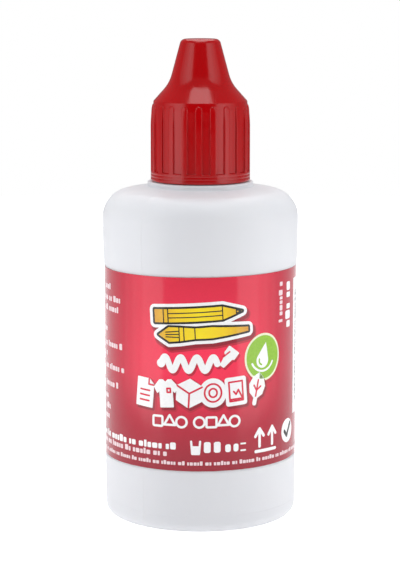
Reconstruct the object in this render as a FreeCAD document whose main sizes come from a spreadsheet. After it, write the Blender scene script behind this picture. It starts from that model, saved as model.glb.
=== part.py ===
"""Glue applicator bottle: blow-moulded bottle, wrap label, dropper insert, ribbed screw cap and the glue inside.

Millimetres, +Z up. The origin is on the bottle's axis, on the plane of its standing ring.
The label's middle faces -Y, and its open seam is at +Y.
"""
import FreeCAD, Part
import os
import sys

import Sketcher

DOC_NAME = "glue_applicator_bottle"

# Driving dimensions: alias, millimetres (or a count, turns or degrees), and what it is.
DIMENSIONS = (
    ("body_radius", 19.0, "widest radius of the bottle, just under the shoulder"),
    ("band_inset", 0.27, "how far the plain band under the label is inside that radius"),
    ("upper_inset", 0.20, "how far the wall just above the label is inside that radius"),
    ("label_recess", 0.10, "how far the label panel is sunk below the band"),
    ("label_margin", 0.25, "gap between the label and each end of its panel"),
    ("band_height", 12.05, "standing plane to the lower end of the label panel"),
    ("label_height", 37.10, "height of the wrap label"),
    ("bulge_height", 4.90, "from the label panel up to the widest radius"),
    ("upper_height", 8.68, "widest straight stretch, up to the shoulder's corner"),
    ("shoulder_rise", 1.47, "rise of the shoulder's cone from its corner to the collar"),
    ("shoulder_round", 5.20, "outside radius of the shoulder's corner"),
    ("heel_round", 2.20, "outside radius of the heel"),
    ("body_wall", 0.85, "wall of the bottle's body"),
    ("shoulder_wall", 1.10, "upright thickness of the shoulder"),
    ("floor_wall", 1.20, "thickness of the bottle's floor"),
    ("foot_width", 3.40, "flat and heel of the standing ring, across"),
    ("push_up", 1.60, "height of the domed floor above the standing plane"),
    ("collar_width", 2.70, "how far the collar stands out from the neck"),
    ("collar_height", 0.80, "height of the collar under the cap"),
    ("collar_round", 0.30, "edge radius of the collar"),
    ("neck_radius", 7.55, "neck radius at the root of its thread"),
    ("neck_wall", 1.15, "wall of the neck"),
    ("neck_height", 12.0, "collar to the lip of the neck"),
    ("lip_round", 0.25, "edge radius of the neck's lip"),
    ("thread_lead", 3.0, "rise of the screw thread in one turn"),
    ("thread_turns", 1.5, "turns of thread on the neck and in the cap"),
    ("thread_start", 3.0, "collar to the middle of the neck thread's lower end"),
    ("thread_depth", 0.75, "height of a thread ridge"),
    ("thread_root", 1.20, "width of a thread ridge at its root"),
    ("thread_crest", 0.60, "width of a thread ridge at its crest"),
    ("thread_sink", 0.25, "how deep a ridge is rooted in its wall"),
    ("thread_clearance", 0.20, "radial clearance at each crest of the thread"),
    ("plug_depth", 7.5, "length of the dropper insert inside the neck"),
    ("plug_wall", 0.95, "wall of the dropper insert"),
    ("plug_relief", 0.20, "gap between the insert's barrel and the neck's bore"),
    ("bead_clearance", 0.04, "gap between the insert's sealing beads and the bore"),
    ("bead_height", 0.90, "height of a sealing bead"),
    ("bead_spacing", 2.40, "distance between the two sealing beads"),
    ("flange_inset", 0.15, "how far the insert's flange stays inside the neck's outside"),
    ("flange_height", 1.0, "thickness of the insert's flange"),
    ("spout_inset", 1.0, "how far the spout's foot is inside the neck's bore"),
    ("spout_waist", 3.30, "radius of the spout where its dome meets its cone"),
    ("spout_dome", 3.60, "height of the spout's dome above the flange"),
    ("spout_tip", 2.0, "radius of the spout's tip"),
    ("spout_height", 9.90, "flange to the tip of the spout"),
    ("spout_blend", 1.60, "blend radius between the spout's dome and its cone"),
    ("orifice_radius", 1.0, "radius of the glue orifice"),
    ("orifice_length", 2.2, "straight length of the glue orifice"),
    ("pin_clearance", 0.08, "gap around the cap's sealing pin in the orifice"),
    ("pin_reach", 1.9, "how far the sealing pin enters the orifice"),
    ("cap_gap", 0.30, "gap between the closed cap and the collar"),
    ("cap_angle", 10.93, "turn of the closed cap about its axis, in degrees"),
    ("cap_wall", 0.78, "wall of the cap's skirt behind its flutes"),
    ("cap_roof", 0.75, "extra height of the cap's outside shoulder over its inside"),
    ("cap_headroom", 1.85, "insert's flange to the cap's inside shoulder"),
    ("cap_band", 1.90, "height of the plain band at the foot of the cap"),
    ("cap_lead_in", 0.35, "chamfer inside the foot of the cap"),
    ("cone_room", 1.68, "gap between the spout's waist and the foot of the cap's cone"),
    ("cone_drop", 3.70, "height of the sloping stretch inside the cap's shoulder"),
    ("cone_wall", 1.0, "wall of the cap's cone at its foot"),
    ("cone_blend", 7.0, "blend radius between the cap's shoulder and its cone"),
    ("tip_room", 0.92, "gap between the spout's tip and the cone, measured outwards"),
    ("tip_headroom", 3.30, "spout's tip to the inside top of the cap"),
    ("tip_wall", 0.79, "wall of the cap's cone at its top"),
    ("tip_roof", 1.30, "thickness of the cap's top"),
    ("tip_round", 0.90, "edge radius of the cap's top"),
    ("rib_count", 21, "ribs around the cap"),
    ("rib_width", 1.18, "width of a cap rib"),
    ("rib_arch", 0.52, "radius of a rib's arched top, as a share of the rib's width"),
    ("rib_height", 0.34, "how far a cap rib stands out of its flutes"),
    ("rib_drop", 0.60, "top of the ribs, below the cap's outside shoulder"),
    ("rib_taper", 4.20, "length of the ribs' tapering top"),
    ("rib_lean", 0.21, "how far the ribs lean in over their tapering top"),
    ("label_film", 0.10, "thickness of the label"),
    ("label_seam", 0.60, "open seam at the back of the label"),
    ("glue_gap", 0.05, "gap between the glue and the bottle's wall"),
    ("headspace", 12.7, "level of the glue, below the shoulder's corner"),
)

# Levels and radii that several pieces share, as expressions on the sheet.
BAND_RADIUS = "dims.body_radius - dims.band_inset"
UPPER_RADIUS = "dims.body_radius - dims.upper_inset"
PANEL_RADIUS = f"{BAND_RADIUS} - dims.label_recess"
LABEL_BASE = "dims.band_height + dims.label_margin"
PANEL_TOP = "dims.band_height + dims.label_height + 2 * dims.label_margin"
BULGE_LEVEL = f"{PANEL_TOP} + dims.bulge_height"
SHOULDER_LEVEL = f"{BULGE_LEVEL} + dims.upper_height"
COLLAR_LEVEL = f"{SHOULDER_LEVEL} + dims.shoulder_rise"
COLLAR_TOP = f"{COLLAR_LEVEL} + dims.collar_height"
LIP_LEVEL = f"{COLLAR_TOP} + dims.neck_height"
INNER_RADIUS = f"{PANEL_RADIUS} - dims.body_wall"
BORE_RADIUS = "dims.neck_radius - dims.neck_wall"
DOME_RADIUS = f"{BAND_RADIUS} - dims.heel_round - dims.foot_width"
CAP_BASE = f"{COLLAR_TOP} + dims.cap_gap"
CAP_BORE = "dims.neck_radius + dims.thread_depth + dims.thread_clearance"
FLUTE_RADIUS = f"{CAP_BORE} + dims.cap_wall"
RIB_RADIUS = f"{FLUTE_RADIUS} + dims.rib_height"
PIN_RADIUS = "dims.orifice_radius - dims.pin_clearance"

doc = FreeCAD.newDocument(DOC_NAME)
sheet = doc.addObject("Spreadsheet::Sheet", "dims")
for row, (alias, value, meaning) in enumerate(DIMENSIONS, start=1):
    sheet.set(f"A{row}", str(value))
    sheet.setAlias(f"A{row}", alias)
    sheet.set(f"B{row}", meaning)
doc.recompute()


def number(expression):
    """The expression's value now, used to draw a sketch near its solution and to find edges."""
    return float(sheet.evalExpression(expression))


def new_body(label, level="0", angle="0"):
    """A body with its own label, placed at a level on the axis and turned about the axis."""
    body = doc.addObject("PartDesign::Body", f"{label}_body")
    body.Label = label
    body.Placement = FreeCAD.Placement(
        FreeCAD.Vector(0, 0, number(level)),
        FreeCAD.Rotation(FreeCAD.Vector(0, 0, 1), number(angle)),
    )
    body.setExpression("Placement.Base.z", level)
    body.setExpression("Placement.Rotation.Angle", angle)
    return body


def origin_part(body, role):
    """One of the body's own origin planes or axes, found by its role."""
    return next(o for o in body.Origin.OriginFeatures if o.Role == role)


def new_sketch(body, label, plane_role, offset="0"):
    """A sketch on one of the body's own origin planes, offset along that plane's normal."""
    sketch = body.newObject("Sketcher::SketchObject", label)
    sketch.AttachmentSupport = [(origin_part(body, plane_role), "")]
    sketch.MapMode = "FlatFace"
    sketch.setExpression("AttachmentOffset.Base.z", offset)
    return sketch


def pin_point(sketch, geometry, end, across, up):
    """Ties one end of a sketch element to its two expressions, or to an axis where one is zero."""
    for constraint, expression, axis in (("DistanceX", across, -2), ("DistanceY", up, -1)):
        if expression == "0":
            sketch.addConstraint(Sketcher.Constraint("PointOnObject", geometry, end, axis))
            continue
        rule = Sketcher.Constraint(constraint, -1, 1, geometry, end, number(expression))
        index = sketch.addConstraint(rule)
        sketch.setExpression(f"Constraints[{index}]", expression)


def arc_between(start, finish, radius, bulge):
    """The short arc of this radius from start to finish, bulging left (1) or right (-1) of the chord."""
    chord = finish - start
    middle = (start + finish) * 0.5
    left = FreeCAD.Vector(-chord.y, chord.x, 0)
    left.normalize()
    half = chord.Length / 2
    rise = radius - (radius ** 2 - half ** 2) ** 0.5
    return Part.Arc(start, middle + left * (bulge * rise), finish)


def draw_outline(sketch, corners):
    """A closed outline through the corners, each an (across, up) pair of expressions.

    A corner with a third item, (radius, bulge), is the start of an arc to the next corner.
    """
    places = [FreeCAD.Vector(number(c[0]), number(c[1]), 0) for c in corners]
    first = sketch.GeometryCount
    for i, corner in enumerate(corners):
        start, finish = places[i], places[(i + 1) % len(places)]
        if len(corner) == 3:
            radius, bulge = corner[2]
            sketch.addGeometry(arc_between(start, finish, number(radius), bulge), False)
        else:
            sketch.addGeometry(Part.LineSegment(start, finish), False)
    for i, corner in enumerate(corners):
        start, finish = places[i], places[(i + 1) % len(places)]
        following = first + (i + 1) % len(places)
        # An arc keeps its start and end in anticlockwise order, so each end is found by its place.
        begin, end = 1, 2
        if sketch.getPoint(first + i, 1).distanceToPoint(start) > start.distanceToPoint(finish) / 2:
            begin, end = 2, 1
        opening = 1
        if sketch.getPoint(following, 1).distanceToPoint(finish) > 1e-6:
            opening = 2
        sketch.addConstraint(Sketcher.Constraint("Coincident", first + i, end, following, opening))
        pin_point(sketch, first + i, begin, corner[0], corner[1])
        if len(corner) == 3:
            index = sketch.addConstraint(Sketcher.Constraint("Radius", first + i, number(corner[2][0])))
            sketch.setExpression(f"Constraints[{index}]", corner[2][0])


def revolve(body, label, corners):
    """A solid of revolution about the body's axis from an outline in its XZ plane."""
    sketch = new_sketch(body, f"{label}_outline", "XZ_Plane")
    draw_outline(sketch, corners)
    feature = body.newObject("PartDesign::Revolution", label)
    feature.Profile = sketch
    feature.ReferenceAxis = (sketch, ["V_Axis"])
    feature.Angle = 360
    doc.recompute()
    return feature


def round_edges(body, label, base, size, rings, kind="PartDesign::Fillet"):
    """Rounds or chamfers the base's circular edges that lie at the given (radius, level) pairs."""
    names = []
    for radius, level in rings:
        target = (number(radius), number(level))
        found = [
            f"Edge{i}"
            for i, edge in enumerate(base.Shape.Edges, start=1)
            if not edge.Degenerated
            and isinstance(edge.Curve, Part.Circle)
            and abs(edge.Curve.Radius - target[0]) < 1e-4
            and abs(edge.BoundBox.ZMin - target[1]) < 1e-4
            and abs(edge.BoundBox.ZMax - target[1]) < 1e-4
        ]
        if not found:
            sys.exit(f"{label}: no edge of radius {target[0]:.3f} at level {target[1]:.3f}")
        names += found
    feature = body.newObject(kind, label)
    feature.Base = (base, names)
    feature.setExpression("Radius" if kind.endswith("Fillet") else "Size", size)
    doc.recompute()
    return feature


def add_thread(body, label, wall_radius, level, outward):
    """A right-handed ridge around the body's axis, outward on a neck or inward in a cap."""
    side = "+" if outward else "-"
    back = "-" if outward else "+"
    root = f"{wall_radius} {back} dims.thread_sink"
    crest = f"{wall_radius} {side} dims.thread_depth"
    sketch = new_sketch(body, f"{label}_section", "XZ_Plane")
    corners = [
        (root, f"{level} - dims.thread_root / 2"),
        (crest, f"{level} - dims.thread_crest / 2"),
        (crest, f"{level} + dims.thread_crest / 2"),
        (root, f"{level} + dims.thread_root / 2"),
    ]
    draw_outline(sketch, corners)
    feature = body.newObject("PartDesign::AdditiveHelix", label)
    feature.Profile = sketch
    feature.ReferenceAxis = (sketch, ["V_Axis"])
    feature.Mode = "pitch-turns-angle"
    feature.setExpression("Pitch", "dims.thread_lead")
    feature.setExpression("Turns", "dims.thread_turns")
    feature.LeftHanded = False
    doc.recompute()
    return feature


def make_bottle():
    """The blow-moulded bottle: domed floor, label panel, shoulder, collar and threaded neck."""
    body = new_body("bottle")
    dome = f"(({DOME_RADIUS}) ^ 2 + dims.push_up ^ 2) / (2 * dims.push_up)"
    bulge = "(dims.bulge_height ^ 2 + dims.upper_inset ^ 2) / (2 * dims.upper_inset)"
    collar_radius = "dims.neck_radius + dims.collar_width"
    floor_top = "dims.floor_wall"
    shoulder_inside = f"{SHOULDER_LEVEL} - dims.shoulder_wall"
    neck_foot = f"{COLLAR_LEVEL} - dims.shoulder_wall"
    corners = [
        ("0", "dims.push_up", (dome, 1)),
        (DOME_RADIUS, "0"),
        (BAND_RADIUS, "0"),
        (BAND_RADIUS, "dims.band_height"),
        (PANEL_RADIUS, "dims.band_height"),
        (PANEL_RADIUS, PANEL_TOP),
        (UPPER_RADIUS, PANEL_TOP, (bulge, -1)),
        ("dims.body_radius", BULGE_LEVEL),
        ("dims.body_radius", SHOULDER_LEVEL),
        (collar_radius, COLLAR_LEVEL),
        (collar_radius, COLLAR_TOP),
        ("dims.neck_radius", COLLAR_TOP),
        ("dims.neck_radius", LIP_LEVEL),
        (BORE_RADIUS, LIP_LEVEL),
        (BORE_RADIUS, neck_foot),
        (INNER_RADIUS, shoulder_inside),
        (INNER_RADIUS, floor_top),
        (DOME_RADIUS, floor_top, (dome, -1)),
        ("0", f"{floor_top} + dims.push_up"),
    ]
    solid = revolve(body, "bottle_wall", corners)
    solid = round_edges(body, "heel", solid, "dims.heel_round", [(BAND_RADIUS, "0")])
    inside_heel = "dims.heel_round - dims.body_wall"
    solid = round_edges(body, "inside_heel", solid, inside_heel, [(INNER_RADIUS, floor_top)])
    shoulder = [("dims.body_radius", SHOULDER_LEVEL)]
    solid = round_edges(body, "shoulder", solid, "dims.shoulder_round", shoulder)
    inside_round = "dims.shoulder_round - dims.body_wall"
    solid = round_edges(body, "inside_shoulder", solid, inside_round, [(INNER_RADIUS, shoulder_inside)])
    solid = round_edges(body, "collar", solid, "dims.collar_round", [(collar_radius, COLLAR_TOP)])
    lip = [("dims.neck_radius", LIP_LEVEL), (BORE_RADIUS, LIP_LEVEL)]
    solid = round_edges(body, "lip", solid, "dims.lip_round", lip)
    thread_level = f"{COLLAR_TOP} + dims.thread_start"
    add_thread(body, "neck_thread", "dims.neck_radius", thread_level, outward=True)
    return body


def make_nozzle_plug():
    """The dropper insert: a barrel with sealing beads, a flange on the lip and a hollow spout."""
    body = new_body("nozzle_plug", level=LIP_LEVEL)
    barrel = f"{BORE_RADIUS} - dims.plug_relief"
    bead = f"{BORE_RADIUS} - dims.bead_clearance"
    flange = "dims.neck_radius - dims.flange_inset"
    foot = "- dims.plug_depth"
    bead_side = "dims.bead_height / 4"
    tip_level = "dims.flange_height + dims.spout_height"
    waist_level = "dims.flange_height + dims.spout_dome"
    corners = [
        (f"{barrel} - dims.plug_wall", foot),
        (barrel, foot),
    ]
    for count in (2, 1):
        base = f"- dims.bead_spacing * {count}"
        corners += [
            (barrel, base),
            (bead, f"{base} + {bead_side}"),
            (bead, f"{base} + dims.bead_height - {bead_side}"),
            (barrel, f"{base} + dims.bead_height"),
        ]
    corners += [
        (barrel, "0"),
        (flange, "0"),
        (flange, "dims.flange_height"),
        (f"{BORE_RADIUS} - dims.spout_inset", "dims.flange_height"),
        ("dims.spout_waist", waist_level),
        ("dims.spout_tip", tip_level),
        ("dims.orifice_radius", tip_level),
        ("dims.orifice_radius", f"{tip_level} - dims.orifice_length"),
        ("dims.spout_waist - dims.plug_wall", waist_level),
        (f"{barrel} - dims.plug_wall", "0"),
    ]
    solid = revolve(body, "plug_wall_section", corners)
    waist = [("dims.spout_waist", waist_level)]
    solid = round_edges(body, "spout_waist", solid, "dims.spout_blend", waist)
    flange_edge = [(flange, "dims.flange_height")]
    solid = round_edges(body, "flange_edge", solid, "dims.flange_height / 4", flange_edge)
    tip_edge = [("dims.spout_tip", tip_level)]
    tip_round = "(dims.spout_tip - dims.orifice_radius) / 3"
    solid = round_edges(body, "tip_edge", solid, tip_round, tip_edge)
    round_edges(body, "plug_foot", solid, "dims.plug_wall / 3", [(barrel, foot)], "PartDesign::Chamfer")
    return body


def make_screw_cap():
    """The screw cap: fluted skirt, sloping shoulder, cone, inside thread and sealing pin."""
    body = new_body("screw_cap", level=CAP_BASE, angle="dims.cap_angle")
    lip_inside = "dims.neck_height - dims.cap_gap"
    inside_shoulder = f"{lip_inside} + dims.flange_height + dims.cap_headroom"
    inside_foot = f"{inside_shoulder} + dims.cone_drop"
    spout_end = f"{lip_inside} + dims.flange_height + dims.spout_height"
    inside_top = f"{spout_end} + dims.tip_headroom"
    outside_shoulder = f"{inside_shoulder} + dims.cap_roof"
    outside_foot = f"{inside_foot} + dims.cone_wall / 2"
    outside_top = f"{inside_top} + dims.tip_roof"
    inner_cone = "dims.spout_waist + dims.cone_room"
    inner_tip = "dims.spout_tip + dims.tip_room"
    outer_tip = f"{inner_tip} + dims.tip_wall"
    pin_end = f"{spout_end} - dims.pin_reach"
    corners = [
        (CAP_BORE, "0"),
        (RIB_RADIUS, "0"),
        (RIB_RADIUS, "dims.cap_band"),
        (FLUTE_RADIUS, "dims.cap_band"),
        (FLUTE_RADIUS, outside_shoulder),
        (f"{inner_cone} + dims.cone_wall", outside_foot),
        (outer_tip, outside_top),
        ("0", outside_top),
        ("0", pin_end),
        (PIN_RADIUS, pin_end),
        (PIN_RADIUS, inside_top),
        (inner_tip, inside_top),
        (inner_cone, inside_foot),
        (CAP_BORE, inside_shoulder),
    ]
    solid = revolve(body, "cap_wall_section", corners)
    cone_foot = [(f"{inner_cone} + dims.cone_wall", outside_foot)]
    solid = round_edges(body, "cone_blend", solid, "dims.cone_blend", cone_foot)
    solid = round_edges(body, "cap_tip", solid, "dims.tip_round", [(outer_tip, outside_top)])
    shoulder = [(FLUTE_RADIUS, outside_shoulder)]
    solid = round_edges(body, "cap_shoulder", solid, "dims.cap_roof / 2", shoulder)
    pin = [(PIN_RADIUS, pin_end)]
    solid = round_edges(body, "pin_end", solid, "dims.orifice_radius / 3", pin)
    solid = round_edges(body, "cap_mouth", solid, "dims.cap_lead_in", [(CAP_BORE, "0")], "PartDesign::Chamfer")

    rib_top = f"{outside_shoulder} - dims.rib_drop"
    arch_foot = f"{rib_top} - dims.rib_width / 2"
    sketch = new_sketch(body, "rib_front", "YZ_Plane", offset=f"{FLUTE_RADIUS} - dims.cap_wall / 3")
    arch = [
        ("- dims.rib_width / 2", "dims.cap_band / 2"),
        ("dims.rib_width / 2", "dims.cap_band / 2"),
        ("dims.rib_width / 2", arch_foot, ("dims.rib_width * dims.rib_arch", -1)),
        ("- dims.rib_width / 2", arch_foot),
    ]
    draw_outline(sketch, arch)
    rib = body.newObject("PartDesign::Pad", "rib")
    rib.Profile = sketch
    rib.setExpression("Length", "dims.rib_height + dims.cap_wall / 2")
    ribs = body.newObject("PartDesign::PolarPattern", "ribs")
    ribs.Originals = [rib]
    ribs.Axis = (origin_part(body, "Z_Axis"), [""])
    ribs.Angle = 360
    ribs.setExpression("Occurrences", "dims.rib_count")
    body.Tip = ribs
    doc.recompute()

    lean_foot = f"{rib_top} - dims.rib_taper"
    beyond = f"{RIB_RADIUS} + dims.cap_wall"
    envelope = new_sketch(body, "rib_envelope", "XZ_Plane")
    outside = [
        (RIB_RADIUS, "dims.cap_band / 4"),
        (beyond, "dims.cap_band / 4"),
        (beyond, outside_shoulder),
        (f"{RIB_RADIUS} - dims.rib_lean", outside_shoulder),
        (f"{RIB_RADIUS} - dims.rib_lean", rib_top),
        (RIB_RADIUS, lean_foot),
    ]
    draw_outline(envelope, outside)
    trim = body.newObject("PartDesign::Groove", "rib_faces")
    trim.Profile = envelope
    trim.ReferenceAxis = (envelope, ["V_Axis"])
    trim.Angle = 360
    doc.recompute()

    turned = "dims.thread_lead * dims.cap_angle / 360"
    level = f"dims.thread_start - dims.thread_lead / 2 - dims.cap_gap + {turned}"
    add_thread(body, "cap_thread", CAP_BORE, level, outward=False)
    return body


def make_label():
    """The wrap label: one strip of film around the panel, with an open seam at the back."""
    body = new_body("label", level=LABEL_BASE)
    inside = PANEL_RADIUS
    outside = f"{PANEL_RADIUS} + dims.label_film"
    sketch = new_sketch(body, "label_strip", "XY_Plane")
    half_seam = number("dims.label_seam") / 2
    for radius in (inside, outside):
        reach = (number(radius) ** 2 - half_seam ** 2) ** 0.5
        left = FreeCAD.Vector(-half_seam, reach, 0)
        front = FreeCAD.Vector(0, -number(radius), 0)
        right = FreeCAD.Vector(half_seam, reach, 0)
        arc = sketch.addGeometry(Part.Arc(left, front, right), False)
        sketch.addConstraint(Sketcher.Constraint("Coincident", arc, 3, -1, 1))
        index = sketch.addConstraint(Sketcher.Constraint("Radius", arc, number(radius)))
        sketch.setExpression(f"Constraints[{index}]", radius)
        for end, side in ((1, "- dims.label_seam / 2"), (2, "dims.label_seam / 2")):
            rule = Sketcher.Constraint("DistanceX", -1, 1, arc, end, number(side))
            index = sketch.addConstraint(rule)
            sketch.setExpression(f"Constraints[{index}]", side)
    for end in (1, 2):
        start, finish = sketch.getPoint(0, end), sketch.getPoint(1, end)
        line = sketch.addGeometry(Part.LineSegment(start, finish), False)
        sketch.addConstraint(Sketcher.Constraint("Coincident", line, 1, 0, end))
        sketch.addConstraint(Sketcher.Constraint("Coincident", line, 2, 1, end))
    strip = body.newObject("PartDesign::Pad", "strip")
    strip.Profile = sketch
    strip.setExpression("Length", "dims.label_height")
    doc.recompute()
    return body


def make_glue_fill():
    """The glue: it fills the bottle's inside up to its level, a named gap away from the wall."""
    body = new_body("glue_fill", level="dims.floor_wall + dims.glue_gap")
    dome = f"(({DOME_RADIUS}) ^ 2 + dims.push_up ^ 2) / (2 * dims.push_up)"
    side = f"{INNER_RADIUS} - dims.glue_gap"
    surface = f"{SHOULDER_LEVEL} - dims.headspace - dims.floor_wall - dims.glue_gap"
    corners = [
        ("0", "dims.push_up", (dome, 1)),
        (DOME_RADIUS, "0"),
        (side, "0"),
        (side, surface),
        ("0", surface),
    ]
    solid = revolve(body, "glue_section", corners)
    heel = "dims.heel_round - dims.body_wall"
    round_edges(body, "glue_heel", solid, heel, [(side, "0")])
    return body


def check_document():
    """Stops the build if any object failed, or if a piece has no valid shape."""
    for item in doc.Objects:
        if {"Invalid", "Error"} & set(item.State):
            sys.exit(f"{item.Name} failed: {item.State}")
    for body in bodies:
        if body.Shape.isNull() or not body.Shape.isValid():
            sys.exit(f"{body.Label} has no valid shape")
        if len(body.Shape.Solids) != 1:
            sys.exit(f"{body.Label} is {len(body.Shape.Solids)} solids, not one")


def write_steps():
    """Writes each piece to its own file, named by its label."""
    os.makedirs("parts", exist_ok=True)
    for body in bodies:
        body.Shape.exportStep(os.path.join("parts", f"{body.Label}.step"))
        box = body.Shape.BoundBox
        print(f"{body.Label}: {body.Shape.Volume / 1000:.3f} cm3, z {box.ZMin:.2f} to {box.ZMax:.2f}")


bodies = [make_bottle(), make_nozzle_plug(), make_screw_cap(), make_label(), make_glue_fill()]
doc.recompute()
check_document()
write_steps()
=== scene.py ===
import math

import bmesh
import bpy
from mathutils import Matrix, Vector
from mathutils.geometry import delaunay_2d_cdt


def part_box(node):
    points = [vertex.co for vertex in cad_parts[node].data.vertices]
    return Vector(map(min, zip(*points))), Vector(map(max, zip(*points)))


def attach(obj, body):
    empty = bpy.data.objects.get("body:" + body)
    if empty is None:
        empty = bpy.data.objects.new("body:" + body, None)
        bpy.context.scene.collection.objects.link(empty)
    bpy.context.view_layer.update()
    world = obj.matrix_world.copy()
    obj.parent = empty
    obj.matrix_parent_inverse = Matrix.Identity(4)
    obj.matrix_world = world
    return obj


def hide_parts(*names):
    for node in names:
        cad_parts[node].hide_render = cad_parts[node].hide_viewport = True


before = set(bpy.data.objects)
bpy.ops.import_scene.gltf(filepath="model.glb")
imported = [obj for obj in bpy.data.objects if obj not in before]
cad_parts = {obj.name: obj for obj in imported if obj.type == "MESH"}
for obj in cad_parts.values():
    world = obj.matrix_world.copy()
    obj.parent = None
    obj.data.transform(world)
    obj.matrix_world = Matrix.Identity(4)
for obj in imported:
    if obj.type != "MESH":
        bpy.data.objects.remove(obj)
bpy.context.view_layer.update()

MM = 0.001

# ---------------------------------------------------------------- places, in millimetres, from the frame


def box_mm(node):
    """A CAD node's lowest and highest corner in millimetres."""
    low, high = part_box(node)
    return low / MM, high / MM


_, BOTTLE_HIGH = box_mm("bottle")
LABEL_LOW, LABEL_HIGH = box_mm("label")
CAP_LOW, CAP_HIGH = box_mm("screw_cap")

BODY_R = BOTTLE_HIGH.x
LABEL_R = LABEL_HIGH.x
LABEL_FILM = 0.10
LABEL_BASE = LABEL_LOW.z
LABEL_H = LABEL_HIGH.z - LABEL_LOW.z
LABEL_MARGIN = 0.25
PANEL_R = LABEL_R - LABEL_FILM
LIP_Z = BOTTLE_HIGH.z
CAP_Z = CAP_LOW.z
CAP_TOP = CAP_HIGH.z - CAP_LOW.z
RIB_R = CAP_HIGH.x

# Sizes that no box of the frame gives. Insets are from the widest radius, HEEL_LINE from the wall
# below the label, DOWN from the lip, and UP from the cap's foot.
WALL = 0.85
HEEL_INSET = 0.27
UPPER_INSET = 0.20
HEEL_LINE = 0.06
SHOULDER_DOWN = 14.27
COLLAR_DOWN = 12.8
COLLAR_H = 0.95
COLLAR_R = 10.25
NECK_R = 7.55
NECK_BORE_R = 6.40
NECK_THREAD_DOWN = 9.0
CAP_BORE_R = 8.50
CAP_MOUTH_R = 8.85
CAP_THREAD_UP = 1.29
CAP_ROOF = 1.3
PIN_R = 0.92
PIN_TIP_UP = 20.7
THREAD_DEPTH = 0.75
THREAD_ROOT = 1.2
THREAD_CREST = 0.6
THREAD_LEAD = 3.0
THREAD_TURNS = 1.5

# Two points of a section closer than this, in millimetres, are one point.
SAME_POINT = 1e-4

# ---------------------------------------------------------------- mesh helpers


def round_corners(corners, step=7.0):
    """A polyline through (radius, level, fillet) corners, with an arc at each fillet.

    The arcs have sides of about step degrees. Where two arcs meet, the shared point is kept once.
    """
    line = []
    for i, (r, z, fillet) in enumerate(corners):
        here = Vector((r, z))
        if fillet <= 0 or i in (0, len(corners) - 1):
            line.append((r, z))
            continue
        before = (Vector(corners[i - 1][:2]) - here).normalized()
        after = (Vector(corners[i + 1][:2]) - here).normalized()
        turn = math.pi - before.angle(after)
        reach = fillet * math.tan(turn / 2)
        centre = here + (before + after).normalized() * (fillet / math.cos(turn / 2))
        start = here + before * reach - centre
        side = 1 if before.x * after.y - before.y * after.x < 0 else -1
        count = max(2, round(math.degrees(turn) / step))
        for k in range(count + 1):
            a = side * turn * k / count
            c, s = math.cos(a), math.sin(a)
            spoke = Vector((start.x * c - start.y * s, start.x * s + start.y * c))
            line.append(tuple(centre + spoke))
    apart = [a for a, b in zip(line, line[1:]) if math.dist(a, b) > SAME_POINT]
    return apart + line[-1:]


def lathe(profile, angles, radius=None):
    """Vertices and faces of a profile turned about Z. A profile point on the axis becomes one vertex."""
    verts, rows = [], []
    for r, z in profile:
        if r < 1e-6:
            rows.append([len(verts)])
            verts.append((0, 0, z * MM))
            continue
        rows.append(list(range(len(verts), len(verts) + len(angles))))
        for a in angles:
            rr = radius(r, z, a) if radius else r
            verts.append((rr * math.sin(a) * MM, -rr * math.cos(a) * MM, z * MM))
    faces = []
    n = len(angles)
    for low, high in zip(rows, rows[1:]):
        for i in range(n):
            j = (i + 1) % n
            if len(low) == 1 and len(high) == 1:
                continue
            if len(low) == 1:
                faces.append((low[0], high[j], high[i]))
            elif len(high) == 1:
                faces.append((low[i], low[j], high[0]))
            else:
                faces.append((low[i], low[j], high[j], high[i]))
    return verts, faces


def add_piece(name, verts, faces, material, body, replaces=None, sharp=40.0):
    """A mesh object that rides on a CAD body, shaded smooth with edges over sharp degrees kept crisp."""
    mesh = bpy.data.meshes.new(name)
    mesh.from_pydata(verts, [], faces)
    bm = bmesh.new()
    bm.from_mesh(mesh)
    bmesh.ops.recalc_face_normals(bm, faces=bm.faces)
    bm.to_mesh(mesh)
    bm.free()
    piece = bpy.data.objects.new(name, mesh)
    bpy.context.scene.collection.objects.link(piece)
    mesh.materials.append(material)
    mesh.shade_smooth()
    mesh.set_sharp_from_angle(angle=math.radians(sharp))
    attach(piece, body)
    if replaces:
        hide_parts(replaces)
    return piece


def even_angles(count, fine=(), fine_width=0.03, fine_count=8):
    """Angles round the axis from the front, with extra ones close to each fine angle."""
    angles = {round(2 * math.pi * i / count, 6) for i in range(count)}
    for centre in fine:
        for k in range(-fine_count, fine_count + 1):
            angles.add(round((centre + fine_width * k / fine_count) % (2 * math.pi), 6))
    return sorted(angles)


def helix_ridge(wall, crest, level, start=math.pi / 2, sink=0.25):
    """Vertices and faces of the thread, with tapered ends, sunk a little into a wall.

    It is right-handed and stands outward or inward, from the wall's radius to the crest's.
    """
    outward = 1 if crest > wall else -1
    steps = int(THREAD_TURNS * 96)
    verts, faces = [], []
    for i in range(steps + 1):
        t = i / steps
        fade = min(1.0, 12 * t + 0.02, 12 * (1 - t) + 0.02)
        a = start + 2 * math.pi * THREAD_TURNS * t
        z = level + THREAD_LEAD * THREAD_TURNS * t
        top = wall + (crest - wall) * fade
        section = [
            (wall - outward * sink, -THREAD_ROOT / 2),
            (wall, -THREAD_ROOT / 2),
            (top, -THREAD_CREST / 2),
            (top, THREAD_CREST / 2),
            (wall, THREAD_ROOT / 2),
            (wall - outward * sink, THREAD_ROOT / 2),
        ]
        for r, dz in section:
            verts.append((r * math.sin(a) * MM, -r * math.cos(a) * MM, (z + dz) * MM))
    n = len(section)
    for i in range(steps):
        for k in range(n):
            m = (k + 1) % n
            faces.append((i * n + k, i * n + m, (i + 1) * n + m, (i + 1) * n + k))
    faces.append(tuple(range(n)))
    faces.append(tuple(steps * n + k for k in reversed(range(n))))
    return verts, faces


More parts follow.
